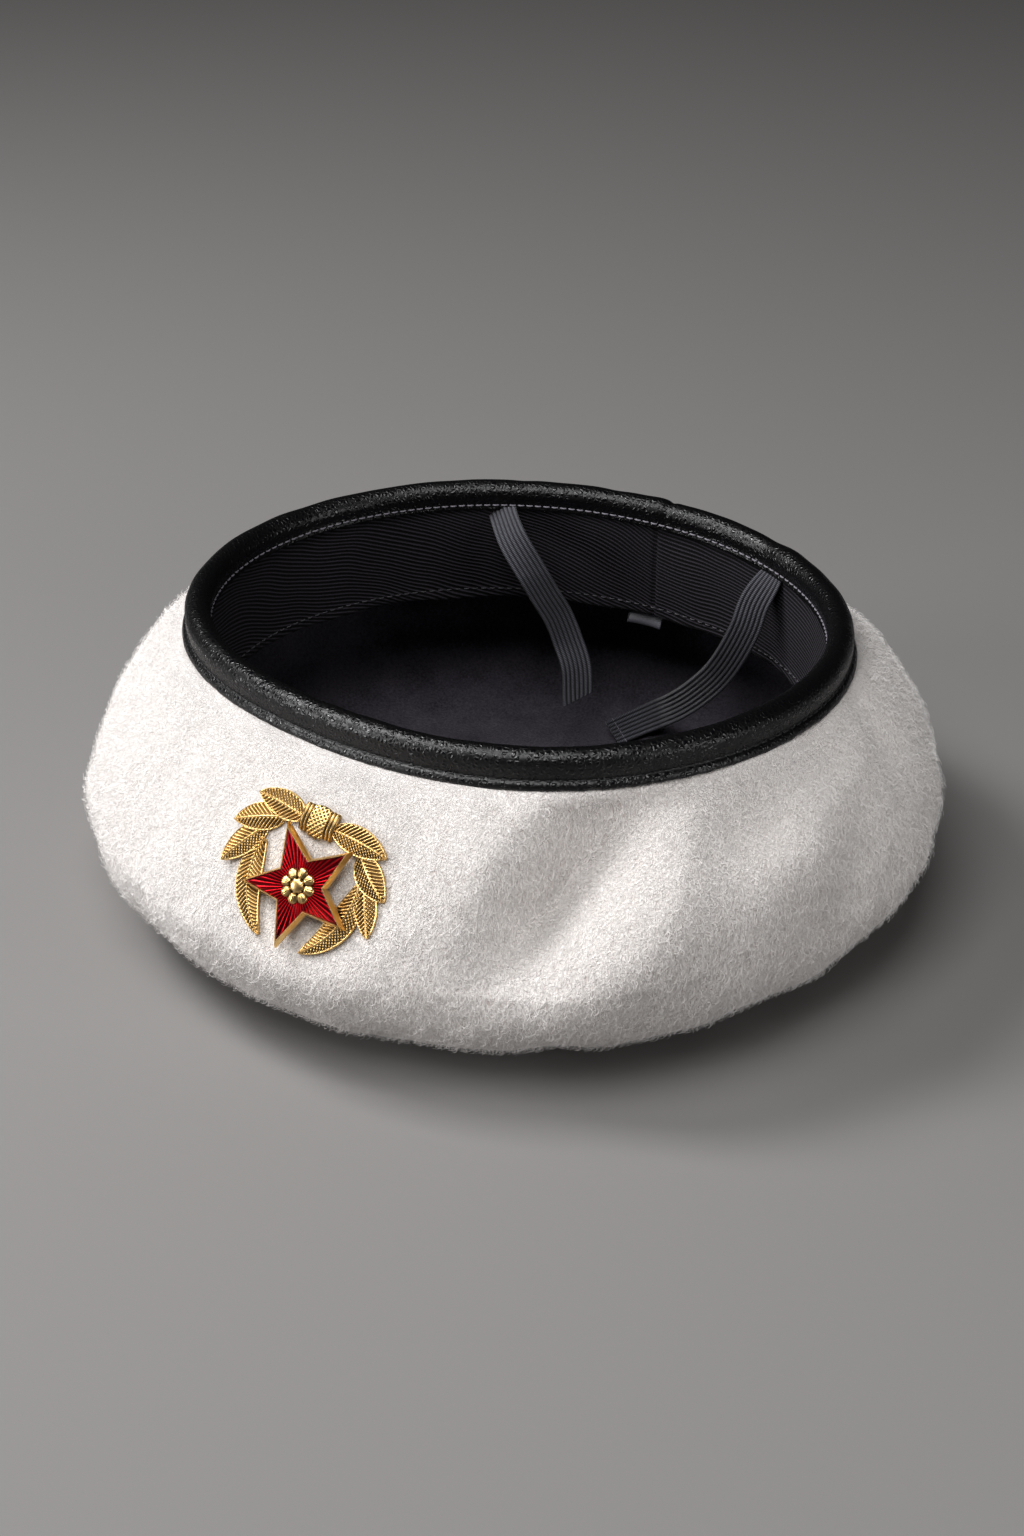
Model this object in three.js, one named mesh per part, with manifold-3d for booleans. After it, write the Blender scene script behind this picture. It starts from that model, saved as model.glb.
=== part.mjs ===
// A military beret lying upside down on its crown, the head opening upwards.
// Millimetres, +Z up. The origin is the middle of the flat crown face, on the floor.
// -Y is the front of the beret, where the badge is, and +Y the back seam.
// Angles are in degrees, counterclockwise from +X as seen from above.

import * as THREE from 'three';
import { mergeVertices } from 'three/addons/utils/BufferGeometryUtils.js';
import Module from 'manifold-3d';

const wasm = await Module();
wasm.setup();

// ---------------------------------------------------------------- driving dimensions

const CLEARANCE = 0.3;
const SEGMENTS = 80;

// The head opening. Its circumference inside the roll is a little over 580 mm.
const RIM = { radius: 100.1, top: 95.5, shiftX: 3.4, shiftY: 2.4 };
const RIM_RADIUS_WAVES = [
  { turns: 2, at: 3.7, size: 7.1 },
  { turns: 3, at: 69.9, size: 3.6 },
];
const RIM_TOP_WAVES = [
  { turns: 1, at: 48.2, size: 1.0 },
  { turns: 2, at: 136.5, size: 2.4 },
  { turns: 3, at: -7.1, size: 0.7 },
];

// The felt body: its widest girth, and the crown disc that it stands on.
const GIRTH = { radius: 134.8, height: 38.9 };
const GIRTH_WAVES = [
  { turns: 2, at: -3.5, size: 2.0 },
  { turns: 3, at: 32.6, size: 0.6 },
];
const CROWN_RADIUS = 84.3;
const UPPER_ROUNDNESS = 1.49;
const FELT_WALL = 2.5;

// Levels run up the side of the felt: 0 is the edge of the crown disc, 1 the widest
// girth and 2 the lower edge of the leather.
const OUTER_LEVELS = [0, 0.2, 0.4, 0.6, 0.8, 1, 1.17, 1.33, 1.48, 1.62, 1.76, 1.88, 2];
const INNER_LEVELS = [0, 0.25, 0.5, 0.75, 1, 1.22, 1.42, 1.6, 1.76, 1.9];
const LEVEL_LENGTH = 64;

// Dents go in and ridges (a depth below 0) come out. lean turns the upper end of the
// dent to the right, as seen from outside, and length and width are half sizes.
const DENTS = [
  { name: 'main crease', angle: 304.5, level: 1.5, lean: 38, length: 33, width: 9, depth: 5.2 },
  { name: 'ridge beside it', angle: 313, level: 1.45, lean: 38, length: 34, width: 10, depth: -2.4 },
  { name: 'broad hollow', angle: 334, level: 1.32, lean: 62, length: 38, width: 17, depth: 3.2 },
  { name: 'right dimple', angle: 367, level: 1.76, lean: 30, length: 15, width: 8, depth: 2.2 },
  { name: 'left fold', angle: 216, level: 1.62, lean: -32, length: 30, width: 9, depth: 1.4 },
  { name: 'second left fold', angle: 245, level: 1.72, lean: -40, length: 26, width: 10, depth: 1.2 },
  { name: 'back hollow', angle: 75, level: 1.5, lean: 20, length: 30, width: 18, depth: 1.8 },
  { name: 'back left hollow', angle: 150, level: 1.4, lean: -25, length: 32, width: 16, depth: 1.6 },
];

// Leather binding: a roll, an outer flange and an inner lip. across and up are measured
// from the outermost point of the roll and from its top.
const ROLL_RADIUS = 4.15;
const FLANGE = { across: 1.4, up: -11.6, thickness: 1.0 };
const LIP = { across: -8.4, up: -8.95, thickness: 0.9 };
const FELT_COLLAR = { across: -1.7, up: -8.65 };

// Sweatband, measured the same way.
const BAND = { across: -7.2, thickness: 1.2, up: -8.65, depth: 30.4 };

const LINING = { thickness: 1.0, gap: 0.4 };
const LINING_LEVELS = INNER_LEVELS.slice(0, -1);

// Loose tape ends. Each is sewn in under the lip, flat against the band, and then hangs
// free: the rows give the middle of the tape, then the way its face looks.
const TAPE = { width: 10.4, thickness: 1.1, standOff: 0.8, rootLength: 3 };
const TAPE_LEFT = {
  rootAngle: 126.3,
  route: [
    { x: -42.6, y: 69.8, z: 79.0, faces: -58, tilt: 20 },
    { x: -33.9, y: 72.0, z: 69.5, faces: -58, tilt: 28 },
    { x: -27.8, y: 74.4, z: 59.5, faces: -58, tilt: 28 },
    { x: -24.9, y: 76.7, z: 49.0, faces: -58, tilt: 28 },
    { x: -24.0, y: 78.6, z: 38.5, faces: -58, tilt: 28 },
    { x: -23.5, y: 81.0, z: 28.0, faces: -56, tilt: 25 },
    { x: -23.5, y: 82.0, z: 20.5, faces: -48, tilt: 20 },
    { x: -25.5, y: 79.5, z: 17.0, faces: -25, tilt: 10 },
  ],
};
const TAPE_RIGHT = {
  rootAngle: 59.5,
  route: [
    { x: 47.5, y: 76.5, z: 76.0, faces: -75, tilt: 25 },
    { x: 46.0, y: 73.5, z: 67.5, faces: -60, tilt: 28 },
    { x: 42.0, y: 73.0, z: 57.5, faces: -58, tilt: 28 },
    { x: 35.0, y: 76.0, z: 46.0, faces: -58, tilt: 28 },
    { x: 24.5, y: 81.5, z: 33.5, faces: -58, tilt: 28 },
    { x: 13.5, y: 88.0, z: 22.5, faces: -58, tilt: 30 },
    { x: 4.0, y: 93.0, z: 14.5, faces: -58, tilt: 34 },
    { x: -2.0, y: 92.0, z: 10.5, faces: -58, tilt: 46 },
    { x: -8.5, y: 83.0, z: 7.8, faces: -58, tilt: 58 },
  ],
};

// Label sewn behind the lower edge of the band, near the back seam. It swings inwards below
// the band by lean.
const LABEL = { angle: 93, width: 12.5, thickness: 0.5, drop: 8.5, hidden: 4, lean: 2.5 };

// Badge. Its place is where its middle meets the felt, and turn is how far its worn-up
// direction is turned from straight down the felt.
const BADGE = { angle: -87.4, level: 1.38, facing: -84, elevation: 32, sink: 0.8, turn: -9 };
const FLAT = { reach: 18, ease: 20 };
const POST = { radius: 1.0, plateRadius: 6, plateThickness: 0.8 };
const POST_BUMP = { height: 1.9, reach: 16 };

// Star sections from the back up: height above the felt, radius at the tips and notches.
const STAR_SECTIONS = [
  { height: 1.9, tip: 18.9, notch: 8.3 },
  { height: 3.1, tip: 18.9, notch: 8.3 },
  { height: 4.6, tip: 17.5, notch: 7.65 },
  { height: 4.6, tip: 16.6, notch: 7.25 },
  { height: 3.6, tip: 16.3, notch: 7.1 },
];
// The star sits turned a little in the wreath.
const STAR_TURN = -1.3;
const ENAMEL_SECTIONS = [
  { height: 3.9, tip: 15.5, notch: 6.75 },
  { height: 4.3, tip: 15.5, notch: 6.75 },
];
const ROSETTE = { radius: 5.4, petals: 8, scallop: 0.7, height: 4.6, thickness: 1.0, boss: 2.2 };

// Wreath leaves, from the middle of the star: x to the right and y up, as the badge is worn
// and seen from outside.
// bow is how far the middle of a leaf lies outside the line from its root to its tip.
const LEAVES = [
  { name: 'left lowest', rootX: -1.5, rootY: -18.0, tipX: -20.6, tipY: -16.6, width: 8.4, bow: 0.5 },
  { name: 'left second', rootX: -12.3, rootY: -14.9, tipX: -24.8, tipY: -5.2, width: 8.6, bow: -0.6 },
  { name: 'left third', rootX: -16.4, rootY: -8.4, tipX: -23.8, tipY: 6.2, width: 7.2, bow: 0.2 },
  { name: 'left long', rootX: -15.6, rootY: -7.6, tipX: -5.8, tipY: 17.8, width: 8.2, bow: 3.9 },
  { name: 'right lowest', rootX: 7.0, rootY: -18.0, tipX: 23.6, tipY: -19.6, width: 8.2, bow: 0.4 },
  { name: 'right second', rootX: 12.8, rootY: -16.0, tipX: 28.0, tipY: -9.4, width: 8.2, bow: 0.5 },
  { name: 'right third', rootX: 17.6, rootY: -12.2, tipX: 27.3, tipY: 2.8, width: 7.6, bow: 0.2 },
  { name: 'right long', rootX: 17.0, rootY: -8.6, tipX: 7.8, tipY: 18.0, width: 7.9, bow: 4.3 },
];
const LEAF_EDGE = 0.8;
const LEAF_RIB = 1.6;
const KNOT = { x: 2.75, y: -18.5, length: 11, width: 9.4, height: 2.3, waist: 0.88 };

// ---------------------------------------------------------------- small helpers

const rad = (degrees) => THREE.MathUtils.degToRad(degrees);

function wave(rows, angle) {
  return rows.reduce((sum, row) => sum + row.size * Math.cos(row.turns * rad(angle - row.at)), 0);
}

function polar(radius, angle, z) {
  return new THREE.Vector3(radius * Math.cos(rad(angle)), radius * Math.sin(rad(angle)), z);
}

function material(color, roughness, metalness) {
  return new THREE.MeshStandardMaterial({ color, roughness, metalness });
}

// Joins rings of equal length into one closed skin. The rings run counterclockwise about
// the direction in which they follow each other. A closed stack joins its last ring to its
// first, and an open one is closed by a fan over each end. crossed splits each four-sided
// face along its other diagonal, so that two skins face to face can be split alike.
function skin(rings, closed, crossed = false) {
  const count = rings[0].length;
  const points = rings.flat();
  const triangles = [];
  const last = closed ? rings.length : rings.length - 1;
  for (let row = 0; row < last; row += 1) {
    const low = row * count;
    const high = ((row + 1) % rings.length) * count;
    for (let i = 0; i < count; i += 1) {
      const next = (i + 1) % count;
      if (crossed) {
        triangles.push(low + i, low + next, high + i);
        triangles.push(low + next, high + next, high + i);
      } else {
        triangles.push(low + i, low + next, high + next);
        triangles.push(low + i, high + next, high + i);
      }
    }
  }
  if (!closed) {
    const ends = [[0, true], [(rings.length - 1) * count, false]];
    for (const [start, facesBack] of ends) {
      const middle = new THREE.Vector3();
      for (let i = 0; i < count; i += 1) {
        middle.addScaledVector(points[start + i], 1 / count);
      }
      const hub = points.push(middle) - 1;
      for (let i = 0; i < count; i += 1) {
        const pair = [start + i, start + ((i + 1) % count)];
        if (facesBack) {
          pair.reverse();
        }
        triangles.push(hub, ...pair);
      }
    }
  }
  const geometry = new THREE.BufferGeometry().setFromPoints(points);
  geometry.setIndex(triangles);
  return geometry;
}

function toManifold(geometry) {
  const bare = geometry.clone();
  bare.deleteAttribute('normal');
  bare.deleteAttribute('uv');
  const merged = mergeVertices(bare, 1e-4);
  return new wasm.Manifold(new wasm.Mesh({
    numProp: 3,
    vertProperties: new Float32Array(merged.attributes.position.array),
    triVerts: new Uint32Array(merged.index.array),
  }));
}

function fromManifold(solid) {
  const mesh = solid.getMesh();
  const geometry = new THREE.BufferGeometry();
  geometry.setAttribute('position', new THREE.BufferAttribute(mesh.vertProperties, 3));
  geometry.setIndex(new THREE.BufferAttribute(mesh.triVerts, 1));
  return geometry;
}

// ---------------------------------------------------------------- the felt surface

const feltAngles = Array.from({ length: SEGMENTS }, (_, i) => (i * 360) / SEGMENTS);

function rimAt(angle) {
  return {
    radius: RIM.radius + wave(RIM_RADIUS_WAVES, angle),
    top: RIM.top + wave(RIM_TOP_WAVES, angle),
  };
}

// A point of the rim's cross-section: across outwards from the roll, up from its top.
function rimPoint(angle, across, up) {
  const rim = rimAt(angle);
  const point = polar(rim.radius + across, angle, rim.top + up);
  return point.add(new THREE.Vector3(RIM.shiftX, RIM.shiftY, 0));
}

// The felt without its dents.
function plainFelt(angle, level) {
  const girth = GIRTH.radius + wave(GIRTH_WAVES, angle);
  const crown = CROWN_RADIUS * girth / GIRTH.radius;
  if (level <= 1) {
    const turn = level * Math.PI / 2;
    const radius = crown + (girth - crown) * Math.sin(turn);
    return polar(radius, angle, GIRTH.height * (1 - Math.cos(turn)));
  }
  const turn = (level - 1) * Math.PI / 2;
  const inward = Math.max(Math.cos(turn), 0) ** (2 / UPPER_ROUNDNESS);
  const upward = Math.sin(turn) ** (2 / UPPER_ROUNDNESS);
  const edge = FLANGE.across - FLANGE.thickness - CLEARANCE;
  const rim = rimAt(angle);
  const radius = rim.radius + edge + (girth - rim.radius - edge) * inward;
  const height = GIRTH.height + (rim.top + FLANGE.up - GIRTH.height) * upward;
  const shift = new THREE.Vector3(RIM.shiftX, RIM.shiftY, 0).multiplyScalar(upward);
  return polar(radius, angle, height).add(shift);
}

function normalOf(surface, angle, level) {
  const step = 0.02;
  const low = Math.max(level - step, 0.001);
  const high = Math.min(level + step, 1.95);
  const around = surface(angle + 0.5, level).sub(surface(angle - 0.5, level));
  const upwards = surface(angle, high).sub(surface(angle, low));
  return around.cross(upwards).normalize();
}

function dentDepth(angle, level) {
  return DENTS.reduce((sum, dent) => {
    const turned = THREE.MathUtils.euclideanModulo(angle - dent.angle + 180, 360) - 180;
    const side = rad(turned) * GIRTH.radius * 0.92;
    const rise = (level - dent.level) * LEVEL_LENGTH;
    const across = side * Math.cos(rad(dent.lean)) - rise * Math.sin(rad(dent.lean));
    const along = side * Math.sin(rad(dent.lean)) + rise * Math.cos(rad(dent.lean));
    return sum + dent.depth * Math.exp(-((across / dent.width) ** 2) - (along / dent.length) ** 2);
  }, 0);
}

function dentedFelt(angle, level) {
  const fade = THREE.MathUtils.smoothstep(level, 0.1, 0.6) * THREE.MathUtils.smoothstep(2 - level, 0, 0.22);
  const point = plainFelt(angle, level);
  return point.addScaledVector(normalOf(plainFelt, angle, level), -dentDepth(angle, level) * fade);
}

// The badge's own frame: out of the felt, its worn-up direction and its right.
const badgeOut = polar(Math.cos(rad(BADGE.elevation)), BADGE.facing, Math.sin(rad(BADGE.elevation)));
const badgeLevel = new THREE.Vector3(0, 0, 1).cross(badgeOut).normalize();
const badgeDown = badgeLevel.clone().cross(badgeOut);
const badgeUp = badgeDown.applyAxisAngle(badgeOut, rad(BADGE.turn));
const badgeRight = badgeUp.clone().cross(badgeOut);
const badgeFoot = plainFelt(BADGE.angle, BADGE.level).addScaledVector(badgeOut, -BADGE.sink);
const badgeFrame = new THREE.Matrix4().makeBasis(badgeRight, badgeUp, badgeOut).setPosition(badgeFoot);

// The felt as it lies: the badge holds a patch of it flat.
function felt(angle, level) {
  const point = dentedFelt(angle, level);
  const arm = point.clone().sub(badgeFoot);
  const height = arm.dot(badgeOut);
  const distance = arm.addScaledVector(badgeOut, -height).length();
  const hold = 1 - THREE.MathUtils.smoothstep(distance, FLAT.reach, FLAT.reach + FLAT.ease);
  if (Math.abs(height) > FLAT.reach) {
    return point;
  }
  return point.addScaledVector(badgeOut, -(height + CLEARANCE) * hold);
}

// Surfaces inside the felt, a given depth below its outer face.
function insideFelt(angle, level, depth) {
  if (level === 0) {
    const edge = felt(angle, 0);
    return edge.setZ(depth);
  }
  return felt(angle, level).addScaledVector(normalOf(felt, angle, level), -depth);
}

const ringOf = (place) => feltAngles.map(place);

// ---------------------------------------------------------------- the felt body

function feltGeometry() {
  const rings = OUTER_LEVELS.map((level) => ringOf((angle) => felt(angle, level)));
  rings.push(ringOf((angle) => rimPoint(angle, FELT_COLLAR.across, FELT_COLLAR.up)));
  rings.push(ringOf((angle) => rimPoint(angle, FELT_COLLAR.across - FELT_WALL, FELT_COLLAR.up)));
  rings.push(ringOf((angle) => rimPoint(angle, FLANGE.across - FELT_WALL - 1.7, FLANGE.up - 1.6)));
  for (const level of [...INNER_LEVELS].reverse()) {
    rings.push(ringOf((angle) => insideFelt(angle, level, FELT_WALL)));
  }
  const hole = new THREE.CylinderGeometry(POST.radius + CLEARANCE, POST.radius + CLEARANCE, 24, 12);
  hole.rotateX(Math.PI / 2);
  hole.applyMatrix4(badgeFrame);
  return fromManifold(toManifold(skin(rings, false, true)).subtract(toManifold(hole)));
}

// ---------------------------------------------------------------- the lining

// The lining stands off a little further where the plate of the badge's post lies.
function liningPoint(angle, level, depth) {
  const point = insideFelt(angle, level, FELT_WALL + LINING.gap + depth);
  const distance = point.distanceTo(badgeFoot);
  const bump = POST_BUMP.height * Math.exp(-((distance / POST_BUMP.reach) ** 2));
  return point.addScaledVector(badgeOut, -bump);
}

function liningGeometry() {
  const rings = LINING_LEVELS.map((level) => ringOf((angle) => liningPoint(angle, level, 0)));
  for (const level of [...LINING_LEVELS].reverse()) {
    rings.push(ringOf((angle) => liningPoint(angle, level, LINING.thickness)));
  }
  return skin(rings, false);
}

// ---------------------------------------------------------------- the leather binding

function bindingGeometry() {
  const roll = [-40, 10, 58, 106, 154, 202].map((turn) => [
    ROLL_RADIUS * (Math.cos(rad(turn)) - 1),
    ROLL_RADIUS * (Math.sin(rad(turn)) - 1),
  ]);
  const underRoll = -2 * ROLL_RADIUS;
  const profile = [
    [FLANGE.across, FLANGE.up],
    ...roll,
    [LIP.across, LIP.up],
    [LIP.across + LIP.thickness, LIP.up],
    [LIP.across + LIP.thickness, underRoll - 0.05],
    [-1.4, underRoll - 0.05],
    [FLANGE.across - FLANGE.thickness, FLANGE.up],
  ];
  return skin(profile.map(([across, up]) => ringOf((angle) => rimPoint(angle, across, up))), true);
}

// ---------------------------------------------------------------- the sweatband

function bandGeometry() {
  const outside = BAND.across + BAND.thickness;
  const bottom = BAND.up - BAND.depth;
  const profile = [
    [outside, bottom],
    [outside, BAND.up],
    [BAND.across, BAND.up],
    [BAND.across, bottom],
  ];
  return skin(profile.map(([across, up]) => ringOf((angle) => rimPoint(angle, across, up))), true);
}

// ---------------------------------------------------------------- the tapes

function tapeGeometry(tape, steps) {
  const across = BAND.across - TAPE.thickness / 2 - TAPE.standOff;
  const alongRim = rimPoint(tape.rootAngle - 1, across, 0).sub(rimPoint(tape.rootAngle + 1, across, 0));
  const faces = THREE.MathUtils.radToDeg(Math.atan2(alongRim.y, alongRim.x)) - 90;
  const rootRows = [CLEARANCE, TAPE.rootLength].map((below) => {
    const { x, y, z } = rimPoint(tape.rootAngle, across, LIP.up - below);
    return { x, y, z, faces, tilt: 0 };
  });
  const rows = [...rootRows, ...tape.route];
  const middle = new THREE.CatmullRomCurve3(rows.map((row) => new THREE.Vector3(row.x, row.y, row.z)));
  const looks = new THREE.CatmullRomCurve3(rows.map((row) => {
    return polar(Math.cos(rad(row.tilt)), row.faces, Math.sin(rad(row.tilt)));
  }));
  const rings = [];
  for (let i = 0; i <= steps; i += 1) {
    const centre = middle.getPoint(i / steps);
    const ahead = middle.getTangent(i / steps);
    const side = looks.getPoint(i / steps).cross(ahead).normalize();
    const face = ahead.clone().cross(side);
    const corner = (along, out) => centre.clone()
      .addScaledVector(side, along * TAPE.width / 2)
      .addScaledVector(face, out * TAPE.thickness / 2);
    rings.push([corner(1, 1), corner(-1, 1), corner(-1, -1), corner(1, -1)]);
  }
  return skin(rings, false);
}

// ---------------------------------------------------------------- the label

function labelGeometry() {
  const half = THREE.MathUtils.radToDeg(LABEL.width / 2 / rimAt(LABEL.angle).radius);
  const front = BAND.across + BAND.thickness + CLEARANCE;
  const back = front + LABEL.thickness;
  const bandBottom = BAND.up - BAND.depth;
  const top = bandBottom + LABEL.hidden;
  const bottom = bandBottom - LABEL.drop;
  const knee = bandBottom - 2 * CLEARANCE;
  const profile = [
    [front, top],
    [front, knee],
    [front - LABEL.lean, bottom],
    [back - LABEL.lean, bottom],
    [back, knee],
    [back, top],
  ];
  const corners = (side) => profile.map(([across, up]) => rimPoint(LABEL.angle + side * half, across, up));
  return skin([1, 0.5, 0, -0.5, -1].map(corners), false);
}

// ---------------------------------------------------------------- the badge

function starRing(section) {
  return Array.from({ length: 10 }, (_, i) => {
    const radius = i % 2 === 0 ? section.tip : section.notch;
    return polar(radius, 90 + STAR_TURN + i * 36, section.height);
  });
}

function starGeometry() {
  return skin(STAR_SECTIONS.map(starRing), false).applyMatrix4(badgeFrame);
}

function enamelGeometry() {
  return skin(ENAMEL_SECTIONS.map(starRing), false).applyMatrix4(badgeFrame);
}

function rosetteGeometry() {
  const steps = ROSETTE.petals * 4;
  const outline = (radius, scallop, height) => Array.from({ length: steps }, (_, i) => {
    const angle = (i * 360) / steps;
    const petal = Math.abs(Math.cos(rad(angle * ROSETTE.petals / 2)));
    return polar(radius - scallop * (1 - petal), angle, height);
  });
  const top = ROSETTE.height + ROSETTE.thickness;
  const rings = [
    outline(ROSETTE.radius, ROSETTE.scallop * 2, ROSETTE.height),
    outline(ROSETTE.radius, ROSETTE.scallop * 2, top - 0.5),
    outline(ROSETTE.radius - 0.8, ROSETTE.scallop, top),
    outline(ROSETTE.boss, 0, top - 0.3),
    outline(ROSETTE.boss * 0.8, 0, top + 0.5),
  ];
  return skin(rings, false).applyMatrix4(badgeFrame);
}

function postGeometry() {
  const head = STAR_SECTIONS[0].height - CLEARANCE;
  const plate = -(FELT_WALL + 2 * CLEARANCE);
  const profile = [
    new THREE.Vector2(0, plate - POST.plateThickness),
    new THREE.Vector2(POST.plateRadius, plate - POST.plateThickness),
    new THREE.Vector2(POST.plateRadius, plate),
    new THREE.Vector2(POST.radius, plate),
    new THREE.Vector2(POST.radius, head),
    new THREE.Vector2(0, head),
  ];
  const geometry = new THREE.LatheGeometry(profile, 16).rotateX(Math.PI / 2);
  return fromManifold(toManifold(geometry.applyMatrix4(badgeFrame)));
}

// A leaf is a low roof over a pointed oval, its rib bowed outwards.
function leafSolid(row) {
  const root = new THREE.Vector3(row.rootX, row.rootY, 0);
  const tip = new THREE.Vector3(row.tipX, row.tipY, 0);
  const outward = new THREE.Vector3(tip.y - root.y, root.x - tip.x, 0).normalize();
  if (outward.dot(root) < 0) {
    outward.negate();
  }
  const middle = root.clone().add(tip).multiplyScalar(0.5).addScaledVector(outward, 2 * row.bow);
  const rib = new THREE.QuadraticBezierCurve3(root, middle, tip);
  const stations = [0.02, 0.15, 0.32, 0.5, 0.68, 0.84, 0.94, 0.995];
  const rings = stations.map((along) => {
    const centre = rib.getPoint(along);
    const ahead = rib.getTangent(along);
    const left = new THREE.Vector3(-ahead.y, ahead.x, 0);
    const half = row.width / 2 * Math.sin(Math.PI * along ** 0.85) ** 0.7;
    const corner = (across, height) => centre.clone().addScaledVector(left, across).setZ(height);
    return [
      corner(-half, 0),
      corner(half, 0),
      corner(half, LEAF_EDGE),
      corner(0, LEAF_RIB),
      corner(-half, LEAF_EDGE),
    ];
  });
  return toManifold(skin(rings, false));
}

function knotSolid() {
  const stations = [-0.5, -0.36, -0.22, 0, 0.22, 0.36, 0.5];
  const rings = stations.map((along, i) => {
    const swell = i % 2 === 1 ? KNOT.waist : 1;
    const half = KNOT.width / 2 * swell;
    const x = KNOT.x + along * KNOT.length;
    const corner = (across, height) => new THREE.Vector3(x, KNOT.y + across, height);
    return [
      corner(-half, 0),
      corner(half, 0),
      corner(half, KNOT.height * 0.45),
      corner(half * 0.5, KNOT.height * swell),
      corner(-half * 0.5, KNOT.height * swell),
      corner(-half, KNOT.height * 0.45),
    ];
  });
  return toManifold(skin(rings, false));
}

function wreathGeometry() {
  const solids = [knotSolid(), ...LEAVES.map(leafSolid)];
  return fromManifold(wasm.Manifold.union(solids)).applyMatrix4(badgeFrame);
}

// ---------------------------------------------------------------- the beret

const feltWhite = material(0xece7e1, 0.95, 0);
const leatherBlack = material(0x17171a, 0.45, 0);
const twillBlack = material(0x1c1b1f, 0.9, 0);
const liningDark = material(0x1d1a20, 0.85, 0);
const elasticBlack = material(0x202126, 0.8, 0);
const labelGrey = material(0x3a3a40, 0.7, 0);
const gold = material(0xd8a850, 0.3, 1);
const enamelRed = material(0xb00a1a, 0.12, 0);
const steel = material(0x9a9a9a, 0.4, 1);

const PIECES = [
  ['felt_shell', feltGeometry(), feltWhite],
  ['leather_binding', bindingGeometry(), leatherBlack],
  ['sweatband', bandGeometry(), twillBlack],
  ['crown_lining', liningGeometry(), liningDark],
  ['tape_left', tapeGeometry(TAPE_LEFT, 24), elasticBlack],
  ['tape_right', tapeGeometry(TAPE_RIGHT, 32), elasticBlack],
  ['label_tab', labelGeometry(), labelGrey],
  ['badge_wreath', wreathGeometry(), gold],
  ['badge_star', starGeometry(), gold],
  ['badge_enamel', enamelGeometry(), enamelRed],
  ['badge_rosette', rosetteGeometry(), gold],
  ['badge_post', postGeometry(), steel],
];

const beret = new THREE.Group();
for (const [name, geometry, finish] of PIECES) {
  const mesh = new THREE.Mesh(geometry, finish);
  mesh.name = name;
  beret.add(mesh);
}

export default beret;
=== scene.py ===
import math
from types import SimpleNamespace as Sizes

import bpy
import numpy as np
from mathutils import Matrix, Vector, noise


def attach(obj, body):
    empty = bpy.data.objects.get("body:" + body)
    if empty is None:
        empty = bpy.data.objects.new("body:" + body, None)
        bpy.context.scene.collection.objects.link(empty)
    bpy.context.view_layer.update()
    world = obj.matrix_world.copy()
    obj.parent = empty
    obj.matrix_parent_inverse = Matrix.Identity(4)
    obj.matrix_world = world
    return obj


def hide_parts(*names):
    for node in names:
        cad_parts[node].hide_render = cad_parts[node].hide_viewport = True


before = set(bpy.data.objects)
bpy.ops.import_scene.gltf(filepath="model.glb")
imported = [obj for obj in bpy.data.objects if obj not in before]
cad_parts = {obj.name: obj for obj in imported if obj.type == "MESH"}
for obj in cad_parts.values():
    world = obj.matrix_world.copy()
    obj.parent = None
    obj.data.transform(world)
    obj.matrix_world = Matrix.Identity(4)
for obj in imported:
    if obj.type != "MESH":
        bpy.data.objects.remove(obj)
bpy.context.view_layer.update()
scene = bpy.context.scene

# A white felt military beret that lies upside down on its crown. Sizes are millimetres and
# angles are degrees, counterclockwise from +X as seen from above; -Y is the front.

# ------------------------ felt body
# Thick white wool felt, fulled and shaped on a block, so it has no seam in the side. It lies on
# the middle of its crown, soft enough to crease below the leather and to flatten under the badge.


def table(names, *rows):
    """Rows of sizes that share their names."""
    return [Sizes(**dict(zip(names.split(), row))) for row in rows]


MM = 0.001
CLEARANCE = 0.3
AROUND = 576

RIM = Sizes(radius=100.1, top=95.5, shift=(3.4, 2.4, 0.0))
RIM_RADIUS_WAVES = table("turns at size", (2, 3.7, 7.1), (3, 69.9, 3.6))
RIM_TOP_WAVES = table("turns at size", (1, 48.2, 1.0), (2, 136.5, 2.4), (3, -7.1, 0.7))
GIRTH = Sizes(radius=134.8, height=38.9)
GIRTH_WAVES = table("turns at size", (2, -3.5, 2.0), (3, 32.6, 0.6))
CROWN_RADIUS = 84.3
UPPER_ROUNDNESS = 1.49
FELT_WALL = 2.5
FELT_EDGE = Sizes(across=0.1, up=-11.1)
FELT_COLLAR = Sizes(across=-1.7, up=-8.65)
LEVEL_LENGTH = 64

# Dents go in, and ridges, with a depth below 0, come out. Their sides are measured on a circle a
# little smaller than the girth.
DENT_CIRCLE = 0.92
DENTS = table(
    "angle level lean length width depth",
    (311, 1.58, 46, 33, 13, 12.0),
    (308, 1.61, 22, 20, 11, 6.0),
    (304, 1.36, 35, 18, 9.5, 6.0),
    (317, 1.20, 47, 31, 14, -6.2),
    (334, 1.62, 75, 33, 13, 4.6),
    (341, 1.43, 73, 27, 11, -3.9),
    (348, 1.08, 50, 38, 16, 2.3),
    (368, 1.67, 30, 14, 10, 2.9),
    (240, 1.60, -32, 30, 12, 1.5),
    (216, 1.62, -32, 30, 9, 1.4),
    (75, 1.50, 20, 30, 18, 1.8),
    (150, 1.40, -25, 32, 16, 1.6))
BADGE = Sizes(angle=-87.4, level=1.38, facing=-84, elevation=32, sink=0.8, turn=-9)
FLAT = Sizes(reach=18, ease=20, calm=(26, 36))
FELT_LUMPS = table("across size", (20.0, 1.5), (7.0, 0.45), (3.2, 0.26))


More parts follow.
